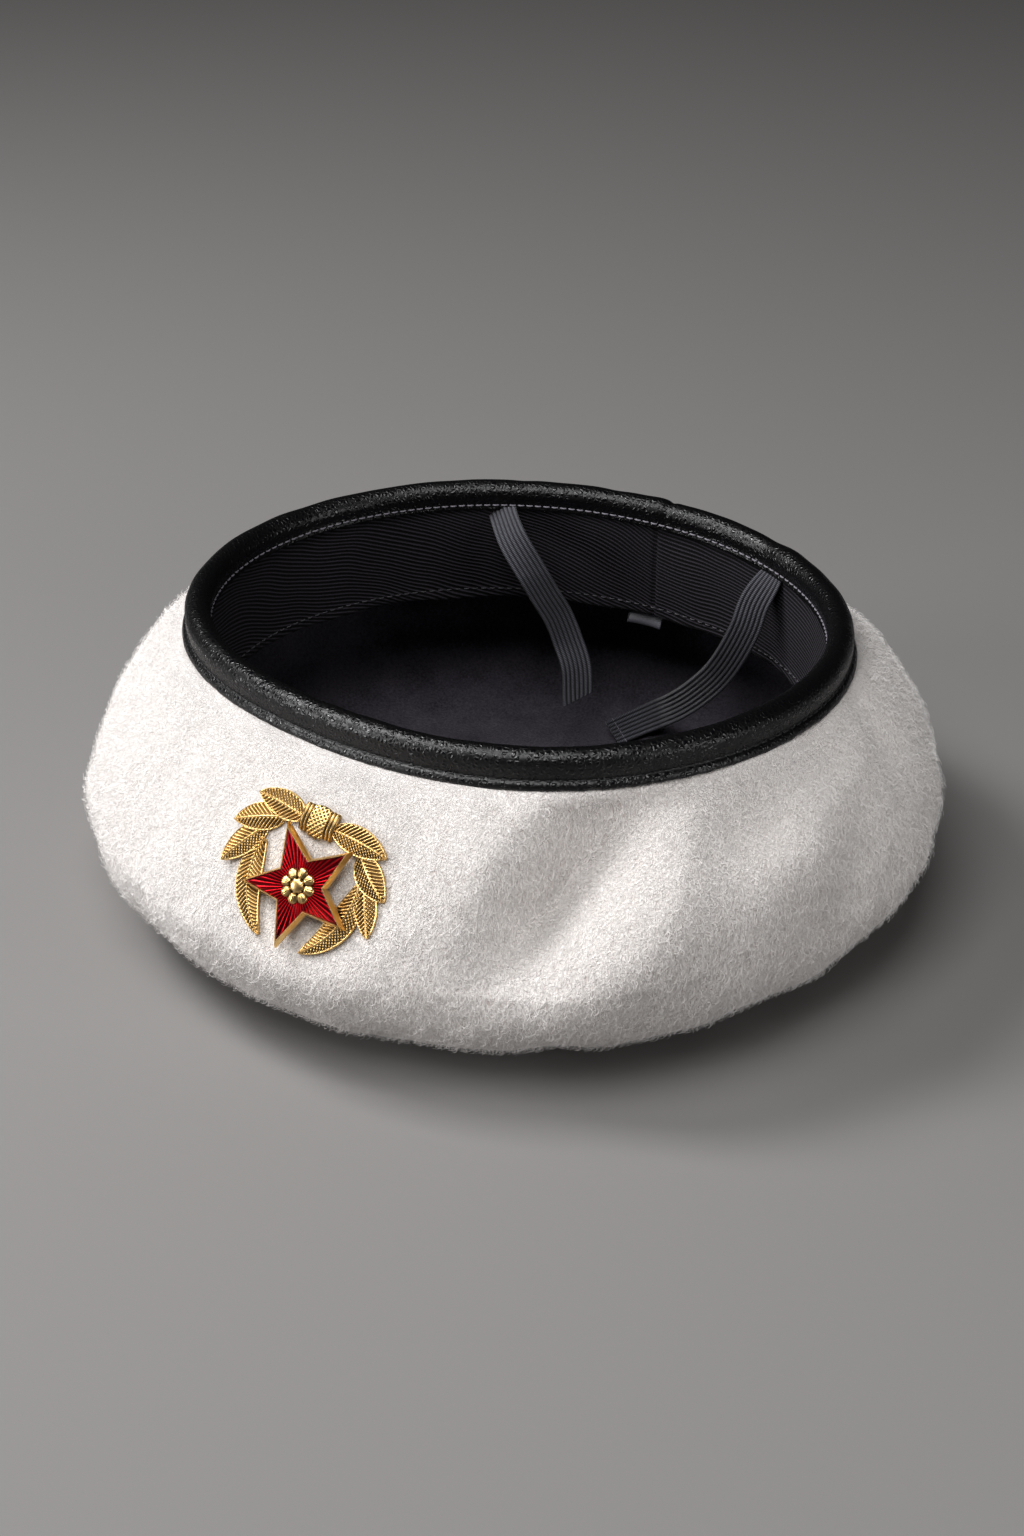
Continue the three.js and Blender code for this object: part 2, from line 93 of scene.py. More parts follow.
def all_round(count, start=0):
    return start + np.arange(count) * 360 / count


def wave(rows, angle):
    return sum(row.size * np.cos(row.turns * np.radians(angle - row.at)) for row in rows)


def stacked(x, y, z):
    return np.stack(np.broadcast_arrays(x, y, z), axis=-1)


def polar(radius, angle, height):
    turn = np.radians(angle)
    return stacked(radius * np.cos(turn), radius * np.sin(turn), height)


def length(vectors):
    return np.linalg.norm(vectors, axis=-1)


def unit(vectors):
    return vectors / length(vectors)[..., None]


def smooth(value, low, high):
    share = np.clip((value - low) / (high - low), 0, 1)
    return share * share * (3 - 2 * share)


def rim_point(angle, across, up):
    """A point of the rim's cross-section: across from the outside of the roll, up from its top."""
    radius = RIM.radius + wave(RIM_RADIUS_WAVES, angle) + across
    return polar(radius, angle, RIM.top + wave(RIM_TOP_WAVES, angle) + up) + RIM.shift


def plain_felt(angle, level):
    """The felt without its dents. Level 0 is the crown's edge, 1 the girth and 2 the leather."""
    girth = GIRTH.radius + wave(GIRTH_WAVES, angle)
    crown = CROWN_RADIUS * girth / GIRTH.radius
    low = np.minimum(level, 1) * np.pi / 2
    under = polar(crown + (girth - crown) * np.sin(low), angle, GIRTH.height * (1 - np.cos(low)))
    high = (np.maximum(level, 1) - 1) * np.pi / 2
    inward = np.maximum(np.cos(high), 0) ** (2 / UPPER_ROUNDNESS)
    upward = np.sin(high) ** (2 / UPPER_ROUNDNESS)
    rim = RIM.radius + wave(RIM_RADIUS_WAVES, angle) + FELT_EDGE.across
    top = RIM.top + wave(RIM_TOP_WAVES, angle) + FELT_EDGE.up
    over = polar(rim + (girth - rim) * inward, angle, GIRTH.height + (top - GIRTH.height) * upward)
    over = over + np.asarray(upward)[..., None] * RIM.shift
    return np.where(np.asarray(level)[..., None] <= 1, under, over)


def normals(surface, angle, level):
    low = np.maximum(level - 0.02, 0.001)
    high = np.minimum(level + 0.02, 1.95)
    around = surface(angle + 0.5, level) - surface(angle - 0.5, level)
    return unit(np.cross(around, surface(angle, high) - surface(angle, low)))


def away_from(at, angle):
    """How far an angle lies from another one, from -180 to 180."""
    return (angle - at + 180) % 360 - 180


def hump(place, width):
    return np.exp(-(place / width) ** 2)


def long_hump(row, x, y, turn, bend=0):
    """A hump as long and wide as a row says, turned from the x direction and bent along its crest."""
    turn = math.radians(turn)
    along = x * math.cos(turn) + y * math.sin(turn)
    across = -x * math.sin(turn) + y * math.cos(turn) + bend * np.sin(along / 11)
    return np.exp(-(along / row.length) ** 2 - (across / row.width) ** 2)


def dent_depth(angle, level):
    total = 0
    for dent in DENTS:
        side = np.radians(away_from(dent.angle, angle)) * GIRTH.radius * DENT_CIRCLE
        rise = (level - dent.level) * LEVEL_LENGTH
        total = total + dent.depth * long_hump(dent, rise, side, dent.lean)
    return total


# The badge's own directions: out of the felt, up as it is worn, and to its right.
badge_out = polar(math.cos(math.radians(BADGE.elevation)), BADGE.facing,
                  math.sin(math.radians(BADGE.elevation)))
badge_level = unit(np.cross((0, 0, 1), badge_out))
badge_down = np.cross(badge_level, badge_out)
badge_turn = math.radians(BADGE.turn)
badge_up = badge_down * math.cos(badge_turn) + np.cross(badge_out, badge_down) * math.sin(badge_turn)
badge_right = np.cross(badge_up, badge_out)
badge_foot = plain_felt(BADGE.angle, BADGE.level) - badge_out * BADGE.sink


def felt(angle, level):
    """The outer face of the felt as it lies, pressed flat under the badge."""
    depth = dent_depth(angle, level) * (smooth(level, 0.1, 0.6) * smooth(2 - level, 0, 0.22))
    point = plain_felt(angle, level) - normals(plain_felt, angle, level) * depth[..., None]
    arm = point - badge_foot
    height = arm @ badge_out
    distance = length(arm - height[..., None] * badge_out)
    hold = 1 - smooth(distance, FLAT.reach, FLAT.reach + FLAT.ease)
    hold = np.where(np.abs(height) > FLAT.reach, 0, hold)
    return point - ((height + CLEARANCE) * hold)[..., None] * badge_out


def inside_felt(angle, level, depth):
    """Faces inside the felt, a given depth below its outer face."""
    floor = felt(angle, level)
    floor[..., 2] = depth
    return np.where(level[..., None] == 0, floor, felt(angle, level) - normals(felt, angle, level) * depth)


def lumps(points, rows, seed):
    """Soft unevenness, in millimetres, made of layers of noise."""
    place = Vector((seed * 17.3, seed * 5.1, seed * 11.7))
    flat = points.reshape(-1, 3)
    total = [sum(row.size * noise.noise(Vector(point) / row.across + place) for row in rows)
             for point in flat]
    return np.array(total).reshape(points.shape[:-1])


def new_object(name, data):
    made = bpy.data.objects.new(name, data)
    scene.collection.objects.link(made)
    return made


def new_mesh(name, points, edges, faces):
    mesh = bpy.data.meshes.new(name)
    mesh.from_pydata((points * MM).tolist(), edges, faces)
    return mesh


def cells(rows, columns):
    """The four corners of each cell in a grid: their rows and their columns."""
    row, column = np.divmod(np.arange(rows * columns)[:, None], columns)
    return row + (0, 0, 1, 1), column + (0, 1, 1, 0)


def skin(name, rings, material=None, joined=False):
    """A closed mesh through rings of points, with a UV map in millimetres round and along them."""
    rows, count = rings.shape[:2]
    levels, columns = cells(rows if joined else rows - 1, count)
    faces = (levels % rows * count + columns % count).tolist()
    points = rings.reshape(-1, 3)
    if not joined:
        points = np.vstack([points, rings[0].mean(0), rings[-1].mean(0)])
        hub = rows * count
        end = (rows - 1) * count
        faces += [(hub, (i + 1) % count, i) for i in range(count)]
        faces += [(hub + 1, end + i, end + (i + 1) % count) for i in range(count)]
    mesh = new_mesh(name, points, [], faces)
    mesh.shade_smooth()
    steps = length(np.diff(rings, axis=1, append=rings[:, :1])).mean(0)
    rises = length(np.diff(rings, axis=0, append=rings[:1])).mean(1)
    round_it, along = (np.concatenate([[0], np.cumsum(parts)]) for parts in (steps, rises))
    laid = np.zeros((len(mesh.loops), 2), np.float32)
    laid[:levels.size] = np.stack([round_it[columns].ravel(), along[levels].ravel()], axis=-1)
    mesh.uv_layers.new(name="surface").data.foreach_set("uv", laid.ravel())
    if material:
        mesh.materials.append(material)
    return new_object(name, mesh)


def linear(hex_colour):
    """An sRGB hex colour as the linear colour that a shader takes."""
    parts = [int(hex_colour[i:i + 2], 16) / 255 for i in (1, 3, 5)]
    return (*[c / 12.92 if c <= 0.04045 else ((c + 0.055) / 1.055) ** 2.4 for c in parts], 1.0)


def fill(made, sockets):
    """Gives a node's sockets, by number or by name, a value each or a link from another socket."""
    for key, value in sockets.items():
        socket = made.inputs[key if isinstance(key, int) else key.replace("_", " ")]
        if isinstance(value, bpy.types.NodeSocket):
            made.id_data.links.new(value, socket)
        else:
            socket.default_value = value


def node(owner, kind, *numbered, out=0, **named):
    """Adds a node to a tree, or to that of a material or socket, and gives one of its outputs. Names
    that start with a capital are its sockets, and the others are its own settings."""
    made = getattr(owner, "node_tree", owner.id_data).nodes.new(kind)
    for name, value in named.items():
        if name.islower():
            setattr(made, name, value)
    fill(made, dict(enumerate(numbered)) | {name: named[name] for name in named if not name.islower()})
    return made.outputs[out]


def new_material(name, **constants):
    """A material with constant values on its shader, and the place on the object."""
    made = bpy.data.materials.new(name)
    made.use_nodes = True
    fill(made.node_tree.nodes["Principled BSDF"], constants)
    return made, node(made, "ShaderNodeTexCoord", out="Object")


def noisy(place, size, detail, **more):
    """Noise with features of a size in millimetres, where the place is in metres."""
    return node(place, "ShaderNodeTexNoise", Vector=place, Scale=1 / (size * MM), Detail=detail, **more)


def maths(operation, first, *values):
    return node(first, "ShaderNodeMath", first, *values, operation=operation)


def ranged(value, low, high, to_low=0.0, to_high=1.0, **settings):
    return node(value, "ShaderNodeMapRange", value, low, high, to_low, to_high, **settings)


def parts_of(place):
    """The x and the y of a place."""
    return node(place, "ShaderNodeSeparateXYZ", place).node.outputs[:2]


def blend(factor, low, high):
    """Goes from one colour, given as sRGB hex or as a socket, to the other."""
    low, high = (linear(colour) if isinstance(colour, str) else colour for colour in (low, high))
    return node(factor, "ShaderNodeMix", out="Result", Factor=factor, A=low, B=high, data_type="RGBA")


def finished(made, height, strength, depth, **links):
    """Bumps a material's surface, up to a depth in millimetres, and links sockets to its shader."""
    links["Normal"] = node(made, "ShaderNodeBump", Height=height, Strength=strength, Distance=depth * MM)
    fill(made.node_tree.nodes["Principled BSDF"], links)
    return made


def wool_felt():
    # Fulled wool felt: crinkled fibres, matted into wrinkles about 0.8 mm across that run down the
    # side and clump every 2 to 3 mm. It is matt and scatters light softly; its pits are painted
    # greyer than its crests as painted shade.
    made, place = new_material("wool_felt", Roughness=0.95, Specular_IOR_Level=0.1, Sheen_Weight=0.4,
                               Sheen_Roughness=0.5)
    combed = node(made, "ShaderNodeMapping", Vector=place, Scale=(1.0, 1.0, 0.42))
    curls = noisy(combed, 0.75, 3, Roughness=0.85, Lacunarity=2.0, Offset=0.9, Gain=1.6,
                  Distortion=0.7, noise_type="RIDGED_MULTIFRACTAL")
    clumps = noisy(combed, 3.0, 4, Roughness=0.65)
    stains = noisy(place, 34, 3)
    height = maths("MULTIPLY_ADD", clumps, 1.5, ranged(curls, 0.1, 1.6))
    # Painted shade: the low parts of the fibre relief are painted grey, the crests near white.
    wool = blend(ranged(height, 0.3, 1.25), "#BFB3AE", "#F4EFEC")
    worn = ranged(stains, 0.35, 0.7, to_high=0.3)
    return finished(made, height, 1.0, 0.34, Base_Color=blend(worn, wool, "#E6DFDB"))


felt_angles = all_round(AROUND)
outer_levels = np.concatenate([np.linspace(0, 1, 46)[:-1], 1 + np.linspace(0, 1, 52) ** 1.25])
angle_grid, level_grid = np.meshgrid(felt_angles, outer_levels)
outer = felt(angle_grid, level_grid)
calm = (smooth(level_grid, 0.05, 0.35) * smooth(2 - level_grid, 0, 0.1)
        * smooth(length(outer - badge_foot), *FLAT.calm))
outer = outer + normals(felt, angle_grid, level_grid) * (lumps(outer, FELT_LUMPS, 1) * calm)[..., None]
collar = [(FELT_COLLAR.across, FELT_COLLAR.up), (FELT_COLLAR.across - FELT_WALL, FELT_COLLAR.up),
          (FELT_EDGE.across - FELT_WALL - 0.4, FELT_EDGE.up - 1.6)]
rings = np.concatenate([
    outer[:1] * np.array([0.02, 0.35, 0.7])[:, None, None],
    outer,
    [rim_point(felt_angles, *place) for place in collar],
    inside_felt(*np.meshgrid(felt_angles, np.linspace(1.9, 0, 22)), FELT_WALL),
])
felt_body = skin("felt_body", rings, wool_felt())
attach(felt_body, "root")
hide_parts("felt_shell")

# ------------------------ nap
# Loose ends of wool stand out of the felt all round it. They are curved ribbons, scattered over
# the outer face by a Geometry Nodes tree, more lying than standing, and combed towards the crown.

NAP = Sizes(per_square_mm=1.5, length=2.4, width=0.06, bands=5)
NAP_BARE = Sizes(low_rows=3, high_rows=6, badge=24)


def wool_fibre():
    # Single undyed wool fibres, matt and a little paler than the felt.
    return new_material("wool_fibre", Base_Color=linear("#F6F3F1"), Roughness=0.8,
                        Specular_IOR_Level=0.1)[0]


def nodes_tree(name, **sockets):
    """A Geometry Nodes tree with inputs of its own, its input sockets and its output node."""
    tree = bpy.data.node_groups.new(name, "GeometryNodeTree")
    tree.interface.new_socket("Geometry", in_out="INPUT", socket_type="NodeSocketGeometry")
    for socket, kind in sockets.items():
        tree.interface.new_socket(socket, in_out="INPUT", socket_type="NodeSocket" + kind)
    tree.interface.new_socket("Geometry", in_out="OUTPUT", socket_type="NodeSocketGeometry")
    return tree, tree.nodes.new("NodeGroupInput").outputs, tree.nodes.new("NodeGroupOutput")


def run_tree(tree, name, mesh, **values):
    """Runs a tree on a mesh and keeps the result as a plain mesh in an object of its own."""
    made = new_object(name, mesh)
    modifier = made.modifiers.new(tree.name, "NODES")
    modifier.node_group = tree
    sockets = {item.name: item.identifier for item in tree.interface.items_tree if item.in_out == "INPUT"}
    for key, value in values.items():
        modifier[sockets[key]] = value
    evaluated = made.evaluated_get(bpy.context.evaluated_depsgraph_get())
    result = bpy.data.meshes.new_from_object(evaluated)
    made.modifiers.clear()
    made.data = result
    result.name = name
    return made


def finish_tree(tree, output, geometry, material):
    """Ends a tree: real geometry instead of instances, and its material."""
    real = node(tree, "GeometryNodeRealizeInstances", Geometry=geometry)
    dressed = node(tree, "GeometryNodeSetMaterial", Geometry=real, Material=material)
    tree.links.new(dressed, output.inputs[0])
    return tree


def nap_tree():
    """Fibres: each a ribbon along a bent line, thrown over the faces and turned about their normal."""
    tree, given, output = nodes_tree("wool_nap", Density="Float", Length="Float", Width="Float", Seed="Int")
    seed = given["Seed"]
    line = node(tree, "GeometryNodeCurveQuadraticBezier", Resolution=3, Start=(0, 0, -0.05),
                Middle=(0.5, 0.35, 0.3), End=(0.75, -0.2, 0.16))
    blade = node(tree, "GeometryNodeCurvePrimitiveLine", Start=(-0.5, 0, 0), End=(0.5, 0, 0))
    long = node(tree, "GeometryNodeTransform", Geometry=line, Scale=given["Length"])
    wide = node(tree, "GeometryNodeTransform", Geometry=blade, Scale=given["Width"])
    fibre = node(tree, "GeometryNodeCurveToMesh", Curve=long, Profile_Curve=wide)
    points = node(tree, "GeometryNodeDistributePointsOnFaces", Mesh=given["Geometry"],
                  Density=given["Density"], Seed=seed)
    combed = node(tree, "FunctionNodeAlignRotationToVector", Rotation=points.node.outputs["Rotation"],
                  Vector=(0, 0, -1), axis="X", pivot_axis="Z")
    turn = node(tree, "FunctionNodeRandomValue", (-0.35, -0.5, -1.3), (0.35, 0.35, 1.3), Seed=seed,
                data_type="FLOAT_VECTOR")
    turned = node(tree, "FunctionNodeRotateRotation", Rotation=combed, Rotate_By=turn, rotation_space="LOCAL")
    size = node(tree, "FunctionNodeRandomValue", out="Value", Min=0.5, Max=1.5, Seed=seed, data_type="FLOAT")
    placed = node(tree, "GeometryNodeInstanceOnPoints", Points=points, Instance=fibre, Rotation=turned,
                  Scale=size)
    return finish_tree(tree, output, placed, wool_fibre())


def outer_patch(first, last):
    """The outer face of the felt between two columns of its grid, without what is pressed or hidden."""
    columns = np.arange(first, last + 1) % AROUND
    patch = outer[NAP_BARE.low_rows:-NAP_BARE.high_rows, columns]
    rows, count = patch.shape[:2]
    levels, sides = cells(rows - 1, count - 1)
    quads = levels * count + sides
    points = patch.reshape(-1, 3)
    away = length(points[quads[:, 0]] - badge_foot) > NAP_BARE.badge
    return new_mesh("felt_patch", points, [], quads[away].tolist())


wool_nap = nap_tree()
for band in range(NAP.bands):
    patch = outer_patch(band * AROUND // NAP.bands, (band + 1) * AROUND // NAP.bands)
    nap = run_tree(wool_nap, f"felt_nap_{band + 1}", patch, Density=NAP.per_square_mm / MM ** 2,
                   Length=NAP.length * MM, Width=NAP.width * MM, Seed=band + 1)
    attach(nap, "root")

# ------------------------ crown lining
# A dark cotton lining, brushed on its face, lies loose in the crown. It is sewn in under the
# sweatband, a little fuller than the felt, so it lies in soft broad creases.

LINING = Sizes(thickness=1.0, gap=0.4, fullness=0.9, calm=(78, 62), centre=(0, 0, 44.0), bend=3)
LINING_LUMPS = table("across size", (22, 1.1), (7, 0.3))
POST_BUMP = Sizes(height=1.9, reach=16)
LINING_CREASES = table(
    "x y turn length width height",
    (-42, 58, 18, 34, 5.0, 1.6),
    (8, 50, -24, 40, 6.0, 1.5),
    (48, 18, 40, 44, 5.5, 1.5),
    (-20, 8, 62, 46, 7.0, 1.2),
    (20, -42, -8, 38, 6.0, 1.3))


def brushed_cotton():
    # Plum-black cotton with a brushed face: paler fluff in tufts of about 1 mm, worn in clouds.
    made, place = new_material("brushed_cotton", Roughness=0.9, Sheen_Weight=0.25,
                               Sheen_Roughness=0.4, Specular_IOR_Level=0.2)
    fluff = noisy(place, 0.9, 5, Roughness=0.85)
    both = maths("MULTIPLY_ADD", noisy(place, 14, 4), 0.35, fluff)
    colour = blend(ranged(both, 0.5, 0.86), "#2D2A31", "#66616A")
    return finished(made, both, 0.5, 0.4, Base_Color=colour)


def lining_face(angle, level, depth):
    """The lining's face, pushed off the felt where the plate of the badge's post lies."""
    point = inside_felt(angle, level, FELT_WALL + LINING.gap + depth)
    bump = POST_BUMP.height * hump(length(point - badge_foot), POST_BUMP.reach)
    return point - bump[..., None] * badge_out


def crease_height(points):
    x, y = points[..., 0], points[..., 1]
    return sum(row.height * long_hump(row, x - row.x, y - row.y, row.turn, LINING.bend)
               for row in LINING_CREASES)


angle_grid, level_grid = np.meshgrid(all_round(288), np.linspace(0, 1.76, 48))
back = lining_face(angle_grid, level_grid, 0)
front = lining_face(angle_grid[::-1], level_grid[::-1], LINING.thickness)
floor_shares = np.linspace(1, 0.02, 46)[1:, None, None]
front = np.concatenate([front, front[-1:] * floor_shares + (1 - floor_shares) * (0, 0, front[-1, 0, 2])])
inward = unit(np.array(LINING.centre) - front)
folds = crease_height(front) + LINING.fullness + lumps(front, LINING_LUMPS, 2)
front = front + inward * (np.maximum(folds, 0) * smooth(front[..., 2], *LINING.calm))[..., None]
floor_back = back[:1] * np.array([0.02, 0.5])[:, None, None]
floor_back[..., 2] = back[0, 0, 2]
crown_lining = skin("crown_cloth", np.concatenate([floor_back, back, front]), brushed_cotton())
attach(crown_lining, "root")
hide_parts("crown_lining")

# ------------------------ sweatband
# A straight strip of black cotton twill, butted at the back and sewn in under the leather. It
# stands inside the opening as a low wall, hemmed and stitched along its lower edge.

BAND = Sizes(across=-7.2, thickness=1.2, up=-8.65, depth=33.6)
BAND_SEAM = Sizes(angle=90.3, width=0.7, depth=0.9)
BAND_HEM = Sizes(height=3.2, ease=0.6, proud=0.35)
BAND_WAVE = Sizes(turns=4, seed=3.7, belly=0.7, foot=0.9, sway=1.3, lean=0.4)
TWILL = Sizes(pitch=1.35, slope=0.38, drift=0.00055, wander=7.0)


def black_twill():
    # Black cotton twill: ribs 1.35 mm apart that run along the strip on a slight slant. The crests are
    # painted grey and the hollows between them black, as painted highlight and shade.
    made, place = new_material("black_twill", Roughness=0.85, Sheen_Weight=0.04,
                               Specular_IOR_Level=0.25)
    x, y = parts_of(node(made, "ShaderNodeUVMap", uv_map="surface"))
    slope = maths("MULTIPLY_ADD", x, -TWILL.drift / 2, TWILL.slope)
    leaning = maths("MULTIPLY_ADD", x, slope, y)
    wavy = maths("MULTIPLY_ADD", noisy(place, 30, 1), TWILL.wander, leaning)
    ribs = maths("SINE", maths("MULTIPLY", wavy, 2 * math.pi / TWILL.pitch))
    height = maths("MULTIPLY_ADD", noisy(place, 0.5, 4), 0.9, ribs)
    # Painted highlight and shade: rib crests grey, the hollows between them near black.
    colour = blend(ranged(height, 0.0, 1.6), "#050406", "#454049")
    return finished(made, height, 1.0, 0.26, Base_Color=colour)


def round_noise(angles, turns, seed):
    """Noise along the rim that meets itself, with more waves for more turns."""
    return np.array([noise.noise(Vector((math.cos(turn) * turns, math.sin(turn) * turns, seed)))
                     for turn in np.radians(angles)])


def rim_side(at, angle):
    """How far an angle lies along the rim from another one, in millimetres."""
    return np.radians(away_from(at, angle)) * RIM.radius


band_angles = all_round(720, BAND_SEAM.angle)
band_wave = round_noise(band_angles, BAND_WAVE.turns, BAND_WAVE.seed)
seam_cut = BAND_SEAM.depth * hump(rim_side(BAND_SEAM.angle, band_angles), BAND_SEAM.width)
outside = BAND.across + BAND.thickness
bottom = BAND.up - BAND.depth
hem_top = -bottom - BAND_HEM.height
rings = [rim_point(band_angles, outside, bottom + 0.2), rim_point(band_angles, outside, BAND.up),
         rim_point(band_angles, BAND.across, BAND.up)]
for share in np.linspace(0, 1, 40):
    up = BAND.up + 0.3 - (BAND.depth - 0.3) * share
    hem = BAND_HEM.proud * smooth(-up, hem_top - BAND_HEM.ease, hem_top)
    belly = BAND_WAVE.belly * band_wave * math.sin(math.pi * share) + BAND_WAVE.foot * band_wave * share
    across = BAND.across - hem + seam_cut - belly - BAND_WAVE.lean * share
    rings.append(rim_point(band_angles, across, up - BAND_WAVE.sway * band_wave * share))
rings.append(rim_point(band_angles, BAND.across + 0.3, bottom - 0.2))
band = skin("twill_band", np.stack(rings), black_twill(), joined=True)
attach(band, "root")
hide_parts("sweatband")
strip = rim_point(band_angles, BAND.across, bottom / 2)

# ------------------------ leather binding
# Black grained sheepskin, cut in one strip and folded over a cord and the felt's edge: a round
# roll, a flange sewn flat on the felt outside and a lip sewn to the sweatband inside.

ROLL = 4.15
FLANGE = Sizes(across=1.4, up=-11.6, thickness=1.0)
LIP = Sizes(across=-8.4, up=-8.95, thickness=0.9)
LEATHER_KINKS = table(
    "angle width depth",
    (88.0, 1.4, 0.5), (90.6, 4.0, -0.35), (63.0, 5.0, 0.4), (57.0, 6.0, -0.35),
    (101.0, 5.0, 0.25), (121.0, 4.0, 0.2))
LEATHER_PULL = Sizes(turns=9, seed=0.5, roll=0.28, flange=0.3)
LEATHER_PUCKER = Sizes(turns=55, seed=7.5, flange=0.3)
GRAIN = Sizes(pitch=1.45, wander=0.7)


def grained_leather():
    # Semi-gloss chrome-tanned sheepskin: pebbles of about 1.4 mm with creases between them, under a
    # thin black finish. The crowns of the pebbles are rubbed smooth and the creases are dull.
    made, place = new_material("grained_leather", Specular_IOR_Level=0.6)
    wander = noisy(place, 1.6, 2).node.outputs["Color"]
    bent = node(made, "ShaderNodeVectorMath", wander, (GRAIN.wander * MM,) * 3, place,
                operation="MULTIPLY_ADD")
    pebbles = node(made, "ShaderNodeTexVoronoi", out="Distance", Vector=bent, Scale=1 / (GRAIN.pitch * MM),
                   feature="DISTANCE_TO_EDGE")
    domes = ranged(pebbles, 0.0, 0.42, interpolation_type="SMOOTHERSTEP")
    height = maths("MULTIPLY_ADD", noisy(place, 3, 1), 0.6, domes)
    # The creases are painted blacker than the pebbles' crowns: painted shade.
    return finished(made, height, 1.0, 0.13, Base_Color=blend(domes, "#020203", "#09080D"),
                    Roughness=ranged(domes, 0.0, 1.0, 0.4, 0.22))


def leather_profile():
    """The strip's cross-section, across and up, from the flange over the roll to the lip and back."""
    flange = [(0.75, -11.2), (1.1, -11.0), (1.25, -10.6), (1.15, -10.1), (0.95, -9.6), (0.7, -9.15),
              (0.35, -8.8), (0.0, -8.6)]
    neck = [(-0.35, -8.15), (-0.25, -7.75), (-0.12, -7.1), (-0.04, -6.2), (0, -5.2)]
    roll = [(ROLL * (math.cos(math.radians(turn)) - 1), ROLL * (math.sin(math.radians(turn)) - 1))
            for turn in range(2, 204, 8)]
    lip = [(-8.0, -6.6), (-8.1, -7.6), (-8.3, -8.4), (LIP.across, LIP.up),
           (LIP.across + LIP.thickness, LIP.up), (LIP.across + LIP.thickness, -8.35),
           (-1.4, -8.35), (FLANGE.across - FLANGE.thickness - 0.2, FLANGE.up + 0.3)]
    return flange + neck + roll + lip


leather_angles = all_round(960)
kink = sum(row.depth * hump(rim_side(row.angle, leather_angles), row.width) for row in LEATHER_KINKS)
pull = round_noise(leather_angles, LEATHER_PULL.turns, LEATHER_PULL.seed)
pucker = round_noise(leather_angles, LEATHER_PUCKER.turns, LEATHER_PUCKER.seed)
droop = LEATHER_PULL.flange * pull + LEATHER_PUCKER.flange * pucker
rings = []
for across, up in leather_profile():
    reach = smooth(up, -8.0, -2.0) * (kink - LEATHER_PULL.roll * pull)
    inward = np.array([across + ROLL, up + ROLL]) / max(math.hypot(across + ROLL, up + ROLL), 0.1)
    hang = droop * smooth(across, -0.3, 1.0)
    rings.append(rim_point(leather_angles, across - inward[0] * reach, up - inward[1] * reach - hang))
leather = skin("leather_edge", np.stack(rings), grained_leather(), joined=True)
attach(leather, "root")
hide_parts("leather_binding")

# ------------------------ sewing
# Lockstitch in bonded black or grey thread: one row in the groove between roll and flange, one
# along the lip, and one in the sweatband's hem. A stitch is an arch whose ends dip into the work.

SEAMS = table(
    "name across up out rise pitch length width thread slot",
    ("flange_stitches", -0.2, -8.45, 0.75, 0.66, 3.2, 2.5, 0.5, "black", "leather"),
    ("lip_stitches", -8.1, -7.4, -1.0, -0.1, 2.9, 2.3, 0.6, "grey", "twill"),
    ("hem_stitches", -8.2, -38.7, -1.0, 0.1, 3.0, 1.6, 0.45, "dusty", "twill"))
THREADS = {"black": "#1F1F22", "grey": "#85818A", "dusty": "#4B484D"}


def bonded_thread(name, colour):
    # Twisted polyester thread, bonded with a clear finish that gives it a dull shine.
    made, place = new_material(name, Base_Color=linear(colour), Roughness=0.5, Sheen_Weight=0.2)
    return finished(made, noisy(place, 0.4, 2), 0.5, 0.1)


def stitch_tree(material):
    """Stitches at an even pitch along a line, lying along it, with their arch towards its 'out'."""
    tree, given, output = nodes_tree(f"stitches_{material.name}", Pitch="Float", Length="Float",
                                     Width="Float")
    half, back = (maths("MULTIPLY", given["Length"], share) for share in (0.5, -0.5))
    radius, dip = (maths("MULTIPLY", given["Width"], share) for share in (0.5, -0.6))
    start = node(tree, "ShaderNodeCombineXYZ", X=back, Z=dip)
    middle = node(tree, "ShaderNodeCombineXYZ", Z=given["Width"])
    end = node(tree, "ShaderNodeCombineXYZ", X=half, Z=dip)
    arch = node(tree, "GeometryNodeCurveQuadraticBezier", Resolution=6, Start=start, Middle=middle, End=end)
    section = node(tree, "GeometryNodeCurvePrimitiveCircle", Resolution=6, Radius=radius)
    stitch = node(tree, "GeometryNodeCurveToMesh", Curve=arch, Profile_Curve=section, Fill_Caps=True)
    line = node(tree, "GeometryNodeMeshToCurve", Mesh=given["Geometry"])
    even = node(tree, "GeometryNodeResampleCurve", Curve=line, Length=given["Pitch"], mode="LENGTH")
    tangent = node(tree, "GeometryNodeInputTangent")
    ahead = node(tree, "FunctionNodeAlignRotationToVector", Vector=tangent, axis="X")
    out = node(tree, "GeometryNodeInputNamedAttribute", out="Attribute", Name="out", data_type="FLOAT_VECTOR")
    turned = node(tree, "FunctionNodeAlignRotationToVector", Rotation=ahead, Vector=out, axis="Z",
                  pivot_axis="X")
    placed = node(tree, "GeometryNodeInstanceOnPoints", Points=even, Instance=stitch, Rotation=turned)
    return finish_tree(tree, output, placed, material)


def mark(mesh, name, values):
    """Keeps a number or a vector for each point of a mesh, under a name."""
    values = np.asarray(values, np.float32)
    kind, field = ("FLOAT", "value") if values.ndim == 1 else ("FLOAT_VECTOR", "vector")
    mesh.attributes.new(name, kind, "POINT").data.foreach_set(field, values.ravel())


def line_mesh(name, points, outs, closed):
    """A line of edges, each point with the way that its surface faces."""
    count = len(points)
    edges = [(i, (i + 1) % count) for i in range(count if closed else count - 1)]
    mesh = new_mesh(name, points, edges, [])
    mark(mesh, "out", outs)
    return mesh


